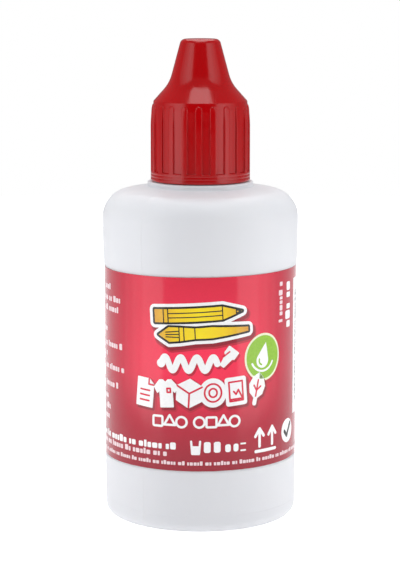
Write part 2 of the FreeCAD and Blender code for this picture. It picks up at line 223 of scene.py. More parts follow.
# ---------------------------------------------------------------- material helpers


def srgb(red, green, blue):
    """A linear colour from 0-255 screen values."""
    def linear(value):
        value /= 255
        return value / 12.92 if value <= 0.04045 else ((value + 0.055) / 1.055) ** 2.4
    return (linear(red), linear(green), linear(blue), 1.0)


class Nodes:
    """A short way to build a node tree."""

    def __init__(self, tree):
        self.tree = tree

    def add(self, kind, **values):
        """A new node with the given settings."""
        node = self.tree.nodes.new(kind)
        for key, value in values.items():
            setattr(node, key, value)
        return node

    def link(self, source, target):
        self.tree.links.new(source, target)

    def feed(self, socket, value):
        """Sets a socket to a number or colour, or links it to another node's output."""
        if isinstance(value, (int, float, tuple)):
            socket.default_value = value
        else:
            self.link(value, socket)

    def spread(self, value, low, high, start=0.0, end=1.0):
        """A smooth step from low to high while the value goes from start to end."""
        node = self.add("ShaderNodeMapRange", interpolation_type="SMOOTHSTEP")
        node.inputs["From Min"].default_value = start
        node.inputs["From Max"].default_value = end
        node.inputs["To Min"].default_value = low
        node.inputs["To Max"].default_value = high
        self.link(value, node.inputs["Value"])
        return node.outputs["Result"]

    def maths(self, operation, *values):
        """The result of one operation on numbers or other nodes' outputs."""
        node = self.add("ShaderNodeMath", operation=operation)
        for socket, value in zip(node.inputs, values):
            self.feed(socket, value)
        return node.outputs["Value"]

    def split(self, vector):
        """The X, Y and Z of a vector."""
        node = self.add("ShaderNodeSeparateXYZ")
        self.link(vector, node.inputs["Vector"])
        return node.outputs


class Surface(Nodes):
    """A material's node tree, with patterns placed in the object's own coordinates."""

    def __init__(self, name):
        self.material = bpy.data.materials.new(name)
        self.material.use_nodes = True
        super().__init__(self.material.node_tree)
        self.shader = self.tree.nodes["Principled BSDF"]
        self.place = self.add("ShaderNodeTexCoord").outputs["Object"]

    def set(self, **values):
        """Sets sockets of the shader, named with _ for each space."""
        for key, value in values.items():
            self.shader.inputs[key.replace("_", " ")].default_value = value

    def noise(self, scale, detail=3.0, stretch=(1, 1, 1)):
        """Noise with scale bumps to the metre. A stretch under 1 draws them out on that axis."""
        mapping = self.add("ShaderNodeMapping")
        mapping.inputs["Scale"].default_value = stretch
        self.link(self.place, mapping.inputs["Vector"])
        noise = self.add("ShaderNodeTexNoise")
        noise.inputs["Scale"].default_value = scale
        noise.inputs["Detail"].default_value = detail
        self.link(mapping.outputs["Vector"], noise.inputs["Vector"])
        return noise.outputs["Fac"]

    def ramp(self, value, stops):
        """A colour that follows the value through (position, colour) stops."""
        node = self.add("ShaderNodeValToRGB")
        elements = node.color_ramp.elements
        while len(elements) < len(stops):
            elements.new(0.5)
        for element, (place, colour) in zip(elements, stops):
            element.position = place
            element.color = colour
        self.link(value, node.inputs["Fac"])
        return node.outputs["Color"]

    def mix(self, factor, a, b, blend="MIX"):
        """Colour b over colour a."""
        node = self.add("ShaderNodeMix", data_type="RGBA", blend_type=blend)
        for socket, value in zip((node.inputs[0], node.inputs[6], node.inputs[7]), (factor, a, b)):
            self.feed(socket, value)
        return node.outputs[2]

    def bump(self, height, strength, distance):
        """A fine relief on the surface, distance metres deep."""
        node = self.add("ShaderNodeBump")
        node.inputs["Strength"].default_value = strength
        node.inputs["Distance"].default_value = distance
        self.link(height, node.inputs["Height"])
        self.link(node.outputs["Normal"], self.shader.inputs["Normal"])


# ---------------------------------------------------------------- materials

# How far each colour of light spreads under the surface of the pale parts.
MILKY = (1.0, 0.95, 0.9)


def bottle_plastic():
    """Milky blow-moulded plastic: faint flow clouds, satin gloss, a fine orange-peel surface."""
    m = Surface("bottle_plastic")
    clouds = m.noise(55.0, 3.0, stretch=(1, 1, 0.35))
    tone = m.ramp(clouds, [(0.25, srgb(226, 227, 231)), (0.75, srgb(234, 234, 237))])
    m.link(tone, m.shader.inputs["Base Color"])
    m.link(m.spread(m.noise(420.0, 4.0), 0.36, 0.46), m.shader.inputs["Roughness"])
    m.set(Subsurface_Weight=0.35, Subsurface_Scale=0.004, Subsurface_Radius=MILKY)
    m.set(Specular_IOR_Level=0.4)
    m.bump(m.noise(900.0, 3.0, stretch=(1, 1, 0.6)), 0.12, 0.00012)
    return m.material


def cap_plastic():
    """Glossy red moulded plastic with faint flow streaks."""
    m = Surface("cap_plastic")
    streaks = m.noise(120.0, 4.0, stretch=(1, 1, 0.15))
    tone = m.ramp(streaks, [(0.3, srgb(172, 0, 4)), (0.7, srgb(184, 0, 7))])
    m.link(tone, m.shader.inputs["Base Color"])
    m.link(m.spread(m.noise(700.0, 4.0), 0.13, 0.22), m.shader.inputs["Roughness"])
    m.set(Specular_IOR_Level=0.5, IOR=1.5)
    m.bump(m.noise(1500.0, 2.0), 0.06, 0.00005)
    return m.material


def nozzle_plastic():
    """Natural soft plastic of the dropper insert."""
    m = Surface("nozzle_plastic")
    tone = m.ramp(m.noise(160.0), [(0.3, srgb(222, 222, 218)), (0.7, srgb(234, 233, 228))])
    m.link(tone, m.shader.inputs["Base Color"])
    m.link(m.spread(m.noise(600.0), 0.32, 0.44), m.shader.inputs["Roughness"])
    m.set(Subsurface_Weight=0.3, Subsurface_Scale=0.001, Subsurface_Radius=MILKY)
    m.bump(m.noise(1400.0, 2.0), 0.08, 0.00006)
    return m.material


def glue_white():
    """Wet white glue."""
    m = Surface("glue_white")
    tone = m.ramp(m.noise(90.0), [(0.3, srgb(238, 236, 230)), (0.7, srgb(246, 245, 241))])
    m.link(tone, m.shader.inputs["Base Color"])
    m.link(m.spread(m.noise(200.0), 0.12, 0.2), m.shader.inputs["Roughness"])
    m.set(Subsurface_Weight=0.3, Subsurface_Scale=0.002, Subsurface_Radius=MILKY)
    return m.material


def film_finish(m):
    """The label film's gloss and its slightly uneven surface."""
    m.link(m.spread(m.noise(300.0, 3.0), 0.10, 0.17), m.shader.inputs["Roughness"])
    m.set(Specular_IOR_Level=0.5)
    m.bump(m.noise(240.0, 2.0, stretch=(1, 1, 0.5)), 0.05, 0.00005)


def label_film():
    """Crimson film: a bright oval glow printed on the front, darker towards the foot, with painted shade
    towards the sides.
    """
    glow_half, glow_level, glow_rise = 13.5 * MM, 0.6, 0.36
    m = Surface("label_film")
    axes = m.split(m.place)
    height = m.maths("DIVIDE", m.maths("SUBTRACT", axes["Z"], LABEL_BASE * MM), LABEL_H * MM)
    red = m.ramp(height, [
        (0.0, srgb(152, 6, 34)),
        (0.25, srgb(186, 14, 48)),
        (0.5, srgb(232, 28, 66)),
        (1.0, srgb(224, 28, 62)),
    ])
    across = m.maths("DIVIDE", axes["X"], glow_half)
    rise = m.maths("DIVIDE", m.maths("SUBTRACT", height, glow_level), glow_rise)
    square = m.maths("ADD", m.maths("MULTIPLY", across, across), m.maths("MULTIPLY", rise, rise))
    reach = m.maths("SQRT", square)
    front = m.spread(axes["Y"], 1.0, 0.0, -14 * MM, -8 * MM)
    glow = m.maths("MULTIPLY", m.spread(reach, 1.0, 0.0, 0.1, 1.15), front)
    tone = m.mix(glow, red, srgb(255, 40, 82))
    # Painted shade: the film darkens towards the sides, where the round label turns away from the front.
    side = m.spread(m.maths("ABSOLUTE", axes["X"]), 0.0, 0.8, 10 * MM, 18.5 * MM)
    tone = m.mix(side, tone, srgb(160, 14, 42))
    grain = m.ramp(m.noise(2600.0, 2.0), [(0.3, (0.96, 0.96, 0.96, 1)), (0.7, (1, 1, 1, 1))])
    m.link(m.mix(1.0, tone, grain, "MULTIPLY"), m.shader.inputs["Base Color"])
    film_finish(m)
    return m.material


def ink(name, colour, spread=6):
    """One printed ink with a fine screen grain, spread steps of 255 lighter and darker."""
    m = Surface(name)
    lighter = srgb(*(min(255, c + spread) for c in colour))
    darker = srgb(*(max(0, c - spread) for c in colour))
    m.link(m.ramp(m.noise(2400.0, 2.0), [(0.3, darker), (0.7, lighter)]), m.shader.inputs["Base Color"])
    film_finish(m)
    return m.material


def gold_ink():
    """Gold print: orange at both ends, yellow in the middle."""
    m = Surface("ink_gold")
    across = m.maths("ABSOLUTE", m.split(m.place)["X"])
    tone = m.ramp(m.maths("DIVIDE", across, 9.8 * MM), [
        (0.0, srgb(252, 226, 10)),
        (0.45, srgb(246, 208, 24)),
        (1.0, srgb(214, 138, 38)),
    ])
    m.link(tone, m.shader.inputs["Base Color"])
    film_finish(m)
    return m.material


def floor_paper():
    """A plain white studio table that glows a little, so that its shadows stay faint."""
    m = Surface("floor_paper")
    tone = m.ramp(m.noise(3.0), [(0.3, (0.84, 0.84, 0.85, 1)), (0.7, (0.87, 0.87, 0.87, 1))])
    m.link(tone, m.shader.inputs["Base Color"])
    m.set(Roughness=0.9, Specular_IOR_Level=0.1)
    m.shader.inputs["Emission Color"].default_value = (1, 1, 1, 1)
    seen = m.add("ShaderNodeLightPath").outputs["Is Camera Ray"]
    m.link(m.spread(seen, FLOOR_GLOW, FLOOR_SHINE), m.shader.inputs["Emission Strength"])
    return m.material


# ---------------------------------------------------------------- bottle

SEAM_ANGLES = (math.radians(-36), math.radians(144))
SEAM_WIDTH = 0.16
SEAM_RISE = 0.075


def seam_bulge(angle, radius):
    """How far the mould's parting line stands out at this angle."""
    rise = 0.0
    for seam in SEAM_ANGLES:
        off = (angle - seam + math.pi) % (2 * math.pi) - math.pi
        rise += SEAM_RISE * math.exp(-((off * radius / SEAM_WIDTH) ** 2))
    return rise


def bottle_profile():
    """The bottle's section: outside from the floor's middle to the lip, then inside back down.

    Each corner is its radius, its level and its fillet.
    """
    band, upper = BODY_R - HEEL_INSET, BODY_R - UPPER_INSET
    heel = band - HEEL_LINE
    ring = band - 5.6
    low_edge, high_edge = LABEL_BASE - LABEL_MARGIN, LABEL_BASE + LABEL_H + LABEL_MARGIN
    shoulder, collar = LIP_Z - SHOULDER_DOWN, LIP_Z - COLLAR_DOWN
    collar_top = collar + COLLAR_H
    inner = PANEL_R - WALL
    outside = [
        (0, 1.6, 0),
        (ring * 0.55, 1.1, 30),
        (ring, 0.0, 1.5),
        (heel, 0.0, 2.1),
        (heel, 3.3, 0.1),
        (band, 3.55, 0.1),
        (band, low_edge - 0.1, 0),
        (band, low_edge, 0.06),
        (PANEL_R, low_edge, 0.03),
        (PANEL_R, high_edge, 0.03),
        (upper, high_edge, 0.08),
        (BODY_R, high_edge + 2.45, 60),
        (BODY_R, shoulder, 5.2),
        (COLLAR_R, collar, 0.25),
        (COLLAR_R, collar_top, 0.3),
        (NECK_R, collar_top, 0.3),
        (NECK_R, LIP_Z, 0.25),
        (NECK_BORE_R, LIP_Z, 0.25),
    ]
    inside = [
        (NECK_BORE_R, collar - 1.1, 0.6),
        (inner, shoulder - 1.1, 4.35),
        (inner, 1.2, 1.35),
        (ring, 1.2, 2.0),
        (0, 2.8, 0),
    ]
    return round_corners(outside + inside)


def bottle_radius(r, z, angle):
    """The outside gets its parting line, above and below the label; the inside stays round."""
    shoulder = z > LIP_Z - SHOULDER_DOWN - 0.23 and r > NECK_R + 0.15
    outside = r > PANEL_R - 0.3 or shoulder or z < 1.0
    panel = abs(r - PANEL_R) < 0.02
    return r + seam_bulge(angle, r) if outside and not panel and r > 4 else r


def make_bottle():
    """The bottle's shell and the thread on its neck."""
    angles = even_angles(216, SEAM_ANGLES)
    verts, faces = lathe(bottle_profile(), angles, bottle_radius)
    add_piece("bottle_shell", verts, faces, MATERIALS["bottle"], "bottle", "bottle")
    verts, faces = helix_ridge(NECK_R, NECK_R + THREAD_DEPTH, LIP_Z - NECK_THREAD_DOWN)
    add_piece("neck_thread", verts, faces, MATERIALS["bottle"], "bottle")


# ---------------------------------------------------------------- cap

RIBS = 21
RIB_HALF = 0.59
RIB_EDGE = 0.16
BAND_TOP = 1.9
RIB_TOP = CAP_TOP - 12.5
CORE_R = RIB_R - 0.34
SHOULDER_LEAN = 0.2
GATE_R = 0.80
GATE_DEPTH = 0.12
CAP_START = math.pi / 2 + math.radians(10.93)


def smooth_step(value):
    """0 below 0, 1 above 1, and a smooth rise between."""
    value = max(0.0, min(1.0, value))
    return value * value * (3 - 2 * value)


def rib_height(z, angle):
    """0 in a flute, 1 on a rib or the plain band, with rounded edges and arched rib tops."""
    pitch = 2 * math.pi / RIBS
    off = ((angle - CAP_START + pitch / 2) % pitch - pitch / 2) * RIB_R
    arch = RIB_TOP - RIB_HALF
    if z > arch:
        rib = math.hypot(off, z - arch) - RIB_HALF
    else:
        rib = abs(off) - RIB_HALF
    band = z - BAND_TOP
    return smooth_step(0.5 - min(rib, band) / RIB_EDGE)


def cap_radius(r, z, angle):
    """The skirt's outside with its ribs, band and the fine rings turned round the band."""
    z -= CAP_Z
    if r < CORE_R - 0.3 or z > RIB_TOP + 0.2:
        return r
    if z > RIB_TOP - 1.0:
        r -= SHOULDER_LEAN * smooth_step((z - RIB_TOP + 1.0) / 1.4)
    lean = 0.21 * smooth_step((z - RIB_TOP + 4.2) / 4.2)
    ring = 0.035 * max(math.exp(-(((z - level) / 0.07) ** 2)) for level in (0.75, 1.35))
    return r + (RIB_R - CORE_R - lean) * rib_height(z, angle) - (ring if z < BAND_TOP else 0)


def cap_angles():
    """Angles that follow each rib's edges closely."""
    pitch = 2 * math.pi / RIBS
    edges = [RIB_HALF + RIB_EDGE * k for k in (-0.6, -0.35, -0.12, 0.12, 0.35, 0.6)]
    half = edges + [0.12, 0.35, 0.9, 1.2]
    # The last one is half way to the next rib, so it has no mirror image.
    offs = half + [-x for x in half] + [1.44]
    ribs = [CAP_START + pitch * i for i in range(RIBS)]
    return sorted((rib + off / RIB_R) % (2 * math.pi) for rib in ribs for off in offs)


def cap_profile():
    """The cap's section: up the outside of the skirt and cone, then down the inside and the pin."""
    rows = [0.0, 0.06, 0.14]
    rows += [0.3 + 0.065 * k for k in range(20)]
    rows += [BAND_TOP + RIB_EDGE * k / 6 for k in range(-5, 6)]
    rows += [BAND_TOP + 0.4 + k * (RIB_TOP - BAND_TOP - 1.6) / 12 for k in range(13)]
    rows += [RIB_TOP - 1.0 + 0.06 * k for k in range(20)]
    heel = {0.0: 0.12, 0.06: 0.04, 0.14: 0.0}
    skirt = [(CORE_R - heel.get(z, 0.0), z + CAP_Z) for z in sorted(rows)]
    shoulder = CAP_TOP - 11.9
    top, roof = CAP_Z + CAP_TOP, CAP_Z + CAP_TOP - CAP_ROOF
    outside = [
        (CORE_R - SHOULDER_LEAN, RIB_TOP + 0.25 + CAP_Z, 0),
        (CORE_R - SHOULDER_LEAN, shoulder + CAP_Z, 0.35),
        (5.98, top - 8.43, 7.0),
        (3.71, top, 1.1),
        (GATE_R, top, 0.05),
        (GATE_R - 0.08, top - GATE_DEPTH, 0.05),
        (0, top - GATE_DEPTH, 0),
    ]
    inside = [
        (0, CAP_Z + PIN_TIP_UP, 0),
        (PIN_R, CAP_Z + PIN_TIP_UP, 0.33),
        (PIN_R, roof, 0.3),
        (2.92, roof, 0.5),
        (4.98, top - 8.93, 5.0),
        (CAP_BORE_R, top - 12.65, 0.8),
        (CAP_BORE_R, CAP_Z + 0.35, 0),
        (CAP_MOUTH_R, CAP_Z, 0),
    ]
    return skirt, round_corners(outside, 5.0), round_corners(inside)


def make_cap():
    """The cap's shell and the thread in its bore."""
    skirt, outside, inside = cap_profile()
    angles = cap_angles()
    verts, faces = lathe(skirt + outside + inside, angles, cap_radius)
    # The section is a ring, so its last row is joined to its first.
    n = len(angles)
    last = len(verts) - n
    faces += [(last + i, last + (i + 1) % n, (i + 1) % n, i) for i in range(n)]
    add_piece("cap_shell", verts, faces, MATERIALS["cap"], "cap", "screw_cap", sharp=50)
    crest = CAP_BORE_R - THREAD_DEPTH
    verts, faces = helix_ridge(CAP_BORE_R, crest, CAP_Z + CAP_THREAD_UP, start=CAP_START)
    add_piece("cap_thread", verts, faces, MATERIALS["cap"], "cap")


# ---------------------------------------------------------------- label and print

SEAM_GAP = 0.60
INK_STEP = 0.014


def on_label(u, v, lift):
    """The point at arc length u from the label's front and height v, lifted off its surface.

    The label sits a little askew, and more so at its top.
    """
    r = LABEL_R + lift
    a = u / LABEL_R
    skew = LABEL_R * math.sin(a) * (0.002 + 0.0055 * v / LABEL_H)
    return Vector((r * math.sin(a), -r * math.cos(a), LABEL_BASE + v + skew)) * MM


def make_label():
    """The wrap label's film, with its open seam at the back."""
    half = math.pi * LABEL_R - SEAM_GAP / 2
    columns, rows = 240, 12
    verts = []
    for lift in (0.0, -LABEL_FILM):
        for k in range(rows + 1):
            v = LABEL_H * k / rows
            verts += [on_label(-half + 2 * half * i / columns, v, lift) for i in range(columns + 1)]
    n, m = columns + 1, rows + 1
    faces = []
    for side in (0, 1):
        for k in range(rows):
            for i in range(columns):
                a = side * n * m + k * n + i
                faces.append((a, a + 1, a + n + 1, a + n))
    for i in range(columns):
        for k in (0, rows):
            a = k * n + i
            faces.append((a, a + 1, a + 1 + n * m, a + n * m))
    for k in range(rows):
        for i in (0, columns):
            a = k * n + i
            faces.append((a, a + n, a + n + n * m, a + n * m))
    add_piece("label_sheet", verts, faces, MATERIALS["label"], "bottle", "label")


def turned(shape, u, v, size=1.0, tilt=0.0):
    """A shape drawn about (0, 0), scaled, turned by tilt degrees and moved to (u, v)."""
    c, s = math.cos(math.radians(tilt)) * size, math.sin(math.radians(tilt)) * size
    return [(u + x * c - y * s, v + x * s + y * c) for x, y in shape]


def arc(r, start=0.0, end=360.0, count=32, squash=1.0):
    """Points along a round or oval arc about (0, 0)."""
    steps = [math.radians(start + (end - start) * k / count) for k in range(count + 1)]
    return [(r * math.cos(a), r * squash * math.sin(a)) for a in steps]


def disc(r, count=36, squash=1.0):
    """A round or oval outline about (0, 0)."""
    return arc(r, 0, 360, count, squash)[:-1]


def bar(width, height, corner=None):
    """A rounded bar about (0, 0)."""
    r = min(width, height) * 0.49 if corner is None else corner
    x, y = width / 2 - r, height / 2 - r
    shape = []
    for i, (cx, cy) in enumerate(((x, y), (-x, y), (-x, -y), (x, -y))):
        shape += turned(arc(r, 90 * i, 90 * i + 90, 4), cx, cy)
    return shape


def capsule(start, end, half):
    """A straight line's outline, half wide on each side, with round ends."""
    du, dv = end[0] - start[0], end[1] - start[1]
    tilt = math.degrees(math.atan2(dv, du))
    far = turned(arc(half, tilt - 90, tilt + 90, 8), *end)
    near = turned(arc(half, tilt + 90, tilt + 270, 8), *start)
    return far + near


def stroke(path, half, closed=False):
    """Shapes that together draw a path with a round pen."""
    ends = path[1:] + path[:1] if closed else path[1:]
    return [capsule(a, b, half) for a, b in zip(path, ends)]


def grown(shape, extra):
    """Shapes that together fill a shape and a rim of the given width round it."""
    return [shape] + stroke(shape, extra, closed=True)


def drop_shape(r, tip):
    """A drop: a round foot that narrows to a point at the top."""
    x, y = r * 0.38, r * (tip - 0.75)
    return arc(r, -208, 28, 28) + [(x, y), (0, r * tip), (-x, y)]


def triangle_shape(r):
    """A triangle with its point up and very slightly hollow sides."""
    radii = (r, r * 0.496)
    return [turned([(0, radii[k % 2])], 0, 0, 1, 60 * k)[0] for k in range(6)]


def flask_shape(size):
    """The outline of a small dropper bottle."""
    half = [(0.42, -1.0), (0.42, 0.2), (0.22, 0.42), (0.22, 0.56), (0.09, 1.0)]
    left = [(-x, y) for x, y in reversed(half)]
    return [(x * size, y * size) for x, y in half + left]


def greeked(u0, u1, v, height, seed=0):
    """A line of plain blocks in uneven groups, in place of small print. It ends at u1."""
    shapes, u, k = [], u0, 0
    while u < u1 - height * 0.3:
        width = height * (0.62 + 0.22 * math.sin(seed * 2.1 + k * 1.9))
        tall = height * (1.0 if (k * 7 + seed * 3) % 5 == 0 else 0.76)
        block = bar(width, tall, min(width, tall) * 0.24)
        shapes.append(turned(block, u + width / 2, v + (tall - height) / 2))
        k += 1
        end = u + width
        u = end + height * (0.62 if (k * 5 + seed) % 7 in (0, 3) else 0.17)
    return [turned(shape, u1 - end, 0) for shape in shapes]


def upright(shapes, u, v):
    """Turns shapes laid out along +X about (0, 0) so that they run up the label at u from v."""
    return [turned(shape, u, v, 1.0, 90) for shape in shapes]


ART = {}


def paint(group, colour, layer, shapes):
    """Adds shapes to one ink layer of a group. Each layer stands one INK_STEP above the last."""
    ART.setdefault((group, colour, layer), []).extend(shapes)


def add_print(name, shapes, layer, material):
    """A thin closed ink solid: the union of flat shapes, cut into strips and wrapped on the label."""
    points, outlines = [], []
    for shape in shapes:
        outlines.append(list(range(len(points), len(points) + len(shape))))
        points += [Vector(p) for p in shape]
    flat, _, faces, _, _, sources = delaunay_2d_cdt(points, [], outlines, 1, SAME_POINT)
    bm = bmesh.new()
    made = [bm.verts.new((p.x, p.y, 0)) for p in flat]
    for face, inside in zip(faces, sources):
        if inside:
            bm.faces.new([made[i] for i in face])
    bmesh.ops.delete(bm, geom=[v for v in bm.verts if not v.link_faces], context="VERTS")
    bmesh.ops.dissolve_limit(bm, angle_limit=0.002, verts=bm.verts[:], edges=bm.edges[:])
    first = math.ceil(min(v.co.x for v in bm.verts))
    last = math.floor(max(v.co.x for v in bm.verts))
    for cut in range(first, last + 1):
        everything = bm.verts[:] + bm.edges[:] + bm.faces[:]
        plane = {"plane_co": (cut, 0, 0), "plane_no": (1, 0, 0)}
        bmesh.ops.bisect_plane(bm, geom=everything, dist=SAME_POINT, **plane)
    bmesh.ops.triangulate(bm, faces=bm.faces[:])
    bm.normal_update()
    for face in bm.faces:
        if face.normal.z < 0:
            face.normal_flip()
    bm.verts.index_update()
    count = len(bm.verts)
    verts = [on_label(v.co.x, v.co.y, layer * INK_STEP) for v in bm.verts]
    verts += [on_label(v.co.x, v.co.y, -INK_STEP / 2) for v in bm.verts]
    solid = []
    for face in bm.faces:
        corners = [v.index for v in face.verts]
        solid.append(corners)
        solid.append([count + i for i in reversed(corners)])
        for loop in face.loops:
            if loop.edge.is_boundary:
                i, j = loop.vert.index, loop.link_loop_next.vert.index
                solid.append([j, i, count + i, count + j])
    bm.free()
    mesh = bpy.data.meshes.new(name)
    mesh.from_pydata(verts, [], solid)
    piece = bpy.data.objects.new(name, mesh)
    bpy.context.scene.collection.objects.link(piece)
    mesh.materials.append(material)
    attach(piece, "bottle")


def shadow(group, shape, soft, deep):
    """A printed shadow of a shape in two tones. Each tone is its rim, then its shift across and up."""
    for colour, layer, (rim, du, dv) in (("shadow_soft", 1, soft), ("shadow_deep", 2, deep)):
        paint(group, colour, layer, [turned(s, du, dv) for s in grown(shape, rim)])


def pencil_art():
    """A pencil that lies with its point to the right: its outline, then its inner lines."""
    outline = [(-8.4, -1.25), (4.7, -1.25), (8.6, 0.0), (4.7, 1.25), (-8.4, 1.25)]
    rings = [[(x, -1.25), (x, 1.25)] for x in (-6.6, -5.7, 4.7)]
    edges = [[(-5.7, y), (4.7, y)] for y in (-0.42, 0.42)]
    lead = [[(7.4, -0.3), (8.3, 0.0), (7.4, 0.3), (7.4, -0.3)]]
    return outline, rings + edges + lead


def brush_art():
    """A brush that lies with its bristles to the left: its outline, then its inner lines."""
    low = [(-8.9, 0.0), (-6.8, -1.4), (-4.8, -1.3), (-1.8, -1.0), (1.5, -1.05), (8.6, -0.4)]
    high = [(x, -y) for x, y in reversed(low[1:])]
    rings = [[(-4.8, -1.3), (-4.8, 1.3)], [(-3.9, -1.2), (-3.9, 1.2)], [(-1.8, -1.0), (-1.8, 1.0)]]
    bristles = [[(-7.4, y), (-4.8, 1.3 * y)] for y in (-0.45, 0.0, 0.45)]
    return low + high, rings + bristles


def paint_emblem():
    """A gold pencil above a gold brush, with a black and then a white outline."""
    for (outline, lines), u, v in ((pencil_art(), -0.5, 30.1), (brush_art(), 0.8, 26.6)):
        tool = turned(outline, u, v, 1.0, 3)
        marks = [turned(line, u, v, 1.0, 3) for line in lines]
        shadow("emblem", tool, (1.3, 0.5, -0.75), (1.05, 0.45, -0.6))
        paint("emblem", "white", 3, grown(tool, 1.0))
        paint("emblem", "black", 4, grown(tool, 0.4))
        paint("emblem", "gold", 5, [tool])
        paint("emblem", "black", 6, [s for mark in marks for s in stroke(mark, 0.1)])


def squiggle(u0, u1, v, rise, waves, count=90):
    """A wavy bead of glue from u0 to u1."""
    steps = [k / count for k in range(count + 1)]
    return [(u0 + (u1 - u0) * t, v + rise * math.sin(2 * math.pi * waves * t)) for t in steps]


def paint_bead():
    """The first headline: a wavy white bead of glue and the nozzle that lays it."""
    bead = stroke(squiggle(-7.6, 3.2, 20.7, 1.25, 3.5), 0.62)
    half = [(0.35, -1.9), (0.75, 0.3), (1.15, 0.55), (1.15, 2.0)]
    nozzle = half + [(-x, y) for x, y in reversed(half)]
    tip = grown(turned(nozzle, 5.25, 21.7, 0.95, -38), 0.18)
    tail = [turned(disc(0.85), -7.6, 20.7)]
    paint("bead", "shadow_soft", 1, [turned(s, 0.3, -0.45) for s in bead + tip + tail])
    paint("bead", "white", 3, bead + tip + tail)
    paint("bead", "crimson", 4, stroke([(4.35, 22.0), (5.6, 22.9)], 0.14))


# Each icon is its solids and the lines drawn on them.


def sheet_icon():
    """A written sheet of paper with a folded corner."""
    fold = [(0.75, 2.6), (0.75, 1.6), (1.75, 1.6)]
    lines = [[(-1.0, y), (1.0, y)] for y in (-1.6, -0.6, 0.4)]
    return [[(-1.75, -2.7), (1.75, -2.7), (1.75, 1.65), (0.8, 2.6), (-1.75, 2.6)]], lines + [fold]


def shirt_icon():
    """A shirt with a pocket."""
    half = [(1.2, -2.6), (1.2, 0.7), (1.75, 0.2), (2.25, 1.25), (1.15, 2.5), (0.55, 2.5), (0.0, 2.0)]
    left = [(-x, y) for x, y in reversed(half[:-1])]
    return [half + left], [[(0.25, 0.9), (0.25, 0.15), (0.9, 0.15), (0.9, 0.9), (0.25, 0.9)]]


def crate_icon():
    """A box seen from a corner."""
    corners = [turned([(0, 2.7)], 0, 0, 1, 60 * k)[0] for k in range(6)]
    return [corners], [[(0, 0), corners[k]] for k in (1, 3, 5)]


def wood_icon():
    """A log's end with its rings."""
    return [disc(2.45, squash=1.08)], [arc(1.6, squash=1.08), arc(0.75, squash=1.1)]


def frame_icon():
    """A picture in its frame."""
    hill = [(-1.25, -1.5), (1.25, -1.5), (0.45, 0.25), (-0.05, -0.6), (-0.5, 0.0)]
    mount = [(-1.35, -1.85), (1.35, -1.85), (1.35, 1.85), (-1.35, 1.85), (-1.35, -1.85)]
    return [bar(4.0, 5.2, 0.35)], [mount, hill]


def leaf_icon():
    """A leaf with its stalk and veins."""
    side = [(0, -2.0), (1.35, -0.9), (1.75, 0.6), (1.1, 2.1), (0, 2.9)]
    left = [(-x, y) for x, y in reversed(side[1:-1])]
    stalk = capsule((0, -2.9), (0, -1.6), 0.28)
    veins = [[(0, -1.5), (0, 1.6)], [(0, -0.4), (0.8, 0.5)], [(0, -0.4), (-0.8, 0.5)]]
    return [side + left, stalk], veins


def paint_uses():
    """The second headline: what the glue joins, as bold white symbols with crimson lines."""
    icons = [sheet_icon(), shirt_icon(), crate_icon(), wood_icon(), frame_icon(), leaf_icon()]
    for k, (solids, lines) in enumerate(icons):
        u, v = -11.1 + 4.5 * k, 14.85 + 0.1 * k
        tilt = (-5, 4, -3, 0, 4, -12)[k]
        for solid in solids:
            placed = turned(solid, u, v, 1.0, tilt)
            shadow("uses", placed, (0.55, 0.35, -0.5), (0.18, 0.35, -0.5))
            paint("uses", "white", 3, grown(placed, 0.16))
        for line in lines:
            paint("uses", "crimson", 4, stroke(turned(line, u, v, 1.0, tilt), 0.17))


def paint_small_lines():
    """Subtitle, quantity line and small print, all as plain blocks."""
    triangle, square, ring = triangle_shape(1.25), bar(1.9, 1.9, 0.2), disc(1.0)
    symbols = [(-8.3, square), (-5.9, triangle), (-3.6, ring)]
    symbols += [(-0.2, ring), (2.1, square), (4.4, triangle), (6.6, ring)]
    for u, symbol in symbols:
        paint("lines", "white", 3, stroke(turned(symbol, u, 9.5), 0.22, closed=True))
    vessel = [(-0.85, 1.2), (-0.65, -1.2), (0.65, -1.2), (0.85, 1.2)]
    paint("lines", "white", 3, stroke(turned(vessel, -0.9, 4.6), 0.2))
    content = [(-0.8, 0.3), (-0.65, -1.2), (0.65, -1.2), (0.8, 0.3)]
    paint("lines", "white", 3, [turned(content, -0.9, 4.6)])
    for u, width, height in ((1.3, 1.3, 2.1), (3.2, 1.3, 2.1), (5.3, 1.1, 1.5), (6.9, 1.0, 1.5)):
        paint("lines", "white", 3, [turned(bar(width, height, 0.4), u, 3.6 + height / 2)])
    for v in (3.7, 5.0):
        paint("lines", "white", 3, [turned(bar(1.2, 0.32), 8.4, v)])
    paint("lines", "white", 3, greeked(-38.5, -4.7, 4.8, 1.35, 1))
    paint("lines", "pale", 3, greeked(-38.5, -6.5, 3.3, 1.1, 2))
    paint("lines", "pale", 3, greeked(-38.5, 37.5, 1.55, 0.8, 3))


